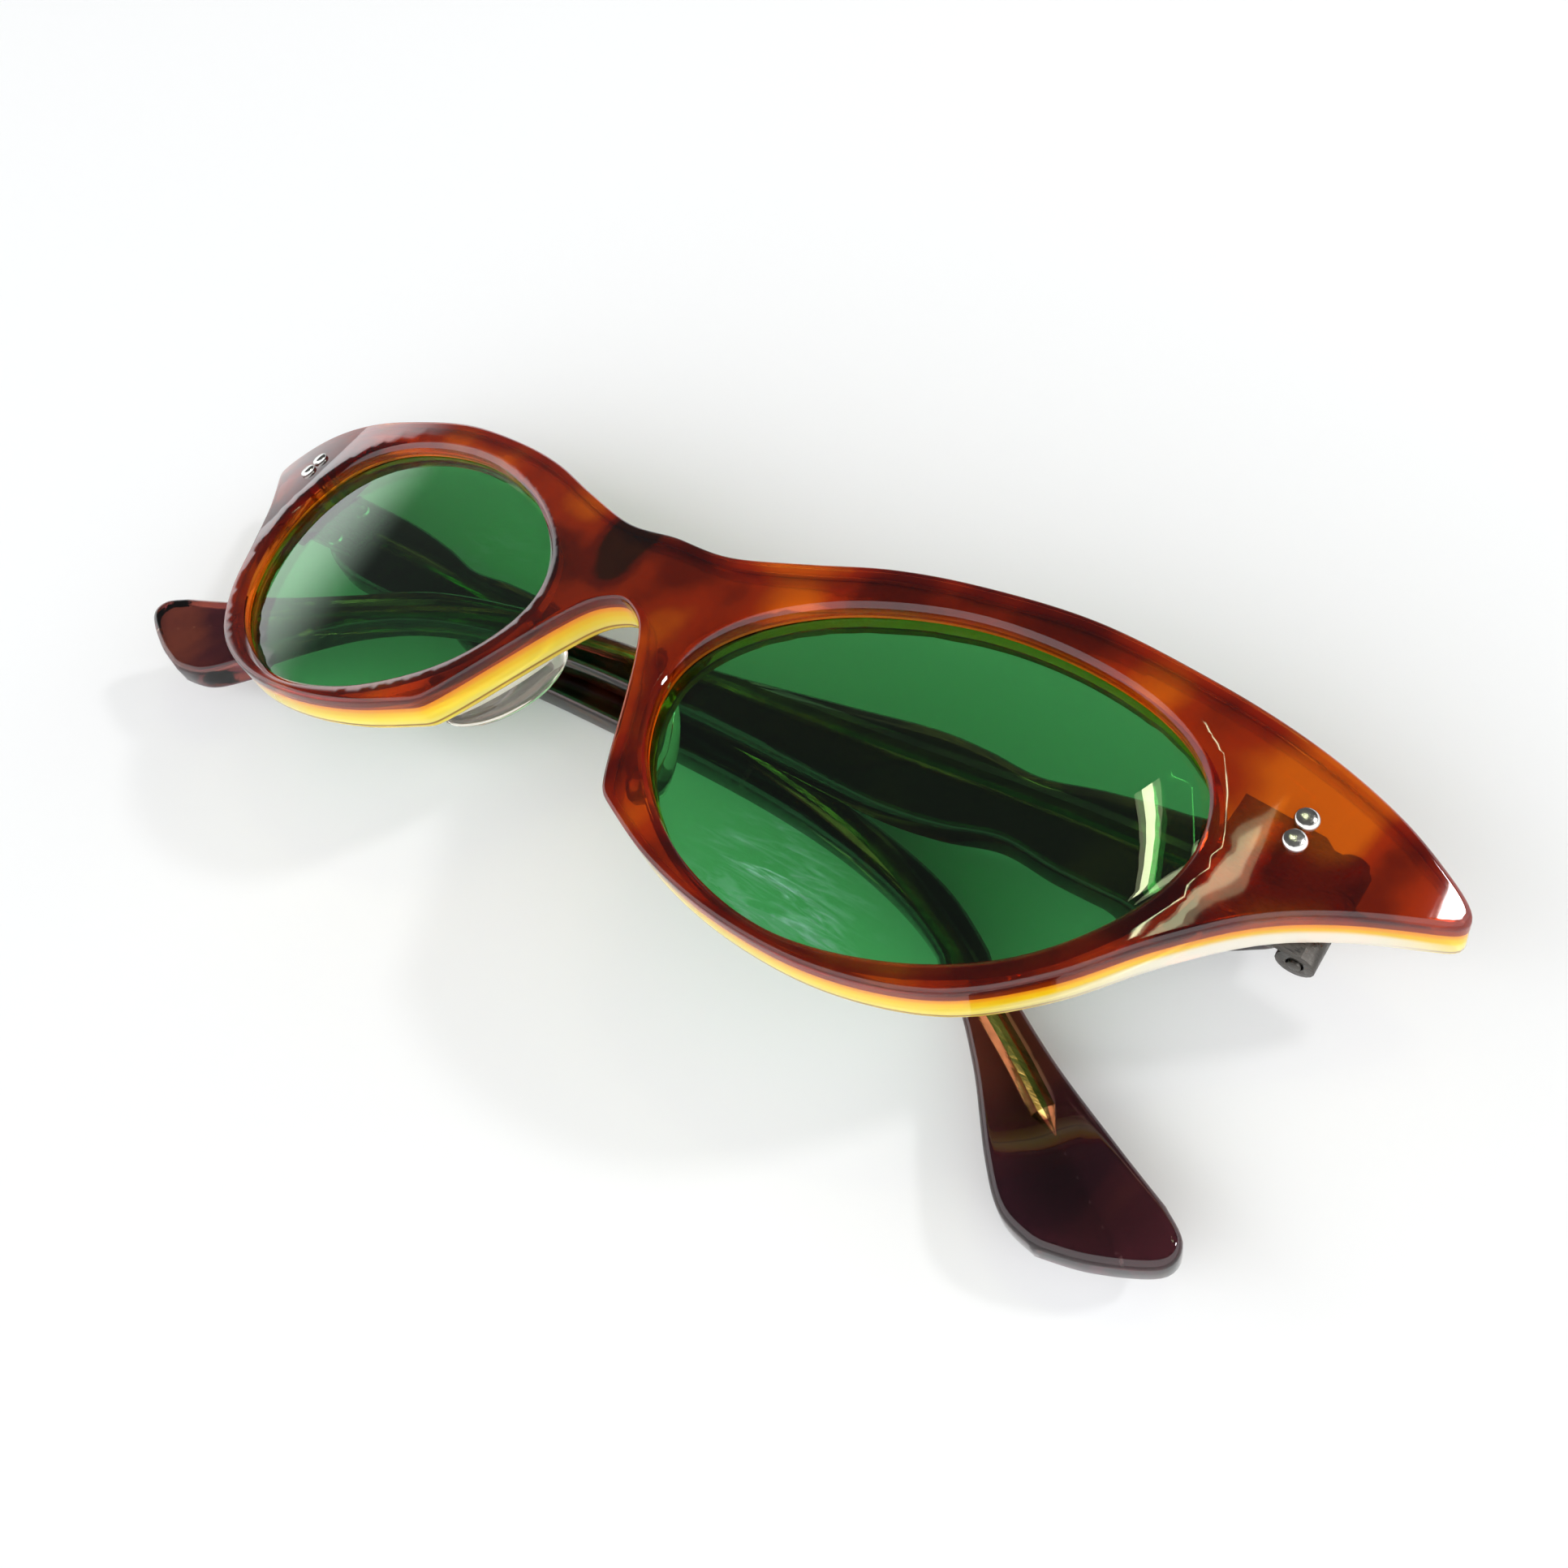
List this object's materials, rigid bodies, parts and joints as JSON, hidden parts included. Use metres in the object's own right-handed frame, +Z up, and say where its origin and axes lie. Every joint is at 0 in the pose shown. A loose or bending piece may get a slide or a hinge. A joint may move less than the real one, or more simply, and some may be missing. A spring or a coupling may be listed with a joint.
{
  "type": "cat eye sunglasses",
  "caption": "Folded cat-eye sunglasses with upswept wings, a two-layer tortoise and honey acetate frame, green glass lenses and flat hinged temples.",
  "frame": {"origin": "on the table, under the centre of the folded glasses' bounding box", "axes": "+X along the front to the wearer's left, +Y to the brow edge, +Z up from the table through the lenses"},
  "size_m": [0.141, 0.0418, 0.0217],
  "materials": {
    "tortoise_acetate": "polished translucent tortoiseshell acetate, amber with red-brown blotches",
    "honey_acetate": "polished translucent honey-yellow acetate",
    "clear_acetate": "clear polished acetate, slightly yellowed",
    "green_glass": "green tinted mineral glass",
    "hinge_steel": "nickel-plated steel, dulled",
    "rivet_silver": "polished nickel silver",
    "gilt_wire": "gilt core wire seen through the acetate"
  },
  "bodies": {
    "front": {"front_tortoise": "tortoise_acetate", "front_honey": "honey_acetate", "lens_left": "green_glass", "lens_right": "green_glass", "nose_pad_left": "clear_acetate", "nose_pad_right": "clear_acetate", "front_leaf_left": "hinge_steel", "front_leaf_right": "hinge_steel", "hinge_screw_left": "hinge_steel", "hinge_screw_right": "hinge_steel", "front_rivet_left_1": "rivet_silver", "front_rivet_left_2": "rivet_silver", "front_rivet_right_1": "rivet_silver", "front_rivet_right_2": "rivet_silver"},
    "left_temple": {"temple_left": "tortoise_acetate", "core_wire_left": "gilt_wire", "temple_leaf_left": "hinge_steel", "temple_rivet_left_1": "rivet_silver", "temple_rivet_left_2": "rivet_silver"},
    "right_temple": {"temple_right": "tortoise_acetate", "core_wire_right": "gilt_wire", "temple_leaf_right": "hinge_steel", "temple_rivet_right_1": "rivet_silver", "temple_rivet_right_2": "rivet_silver"}
  },
  "joints": [
    {"name": "left_hinge", "type": "hinge", "parent": "front", "child": "left_temple", "pos_m": [0.06116, 0.00945, 0.00992], "axis": [0, -1, 0], "range_deg": [0, 92]},
    {"name": "right_hinge", "type": "hinge", "parent": "front", "child": "right_temple", "pos_m": [-0.06113, 0.00945, 0.00477], "axis": [0, 1, 0], "range_deg": [0, 88]}
  ]
}
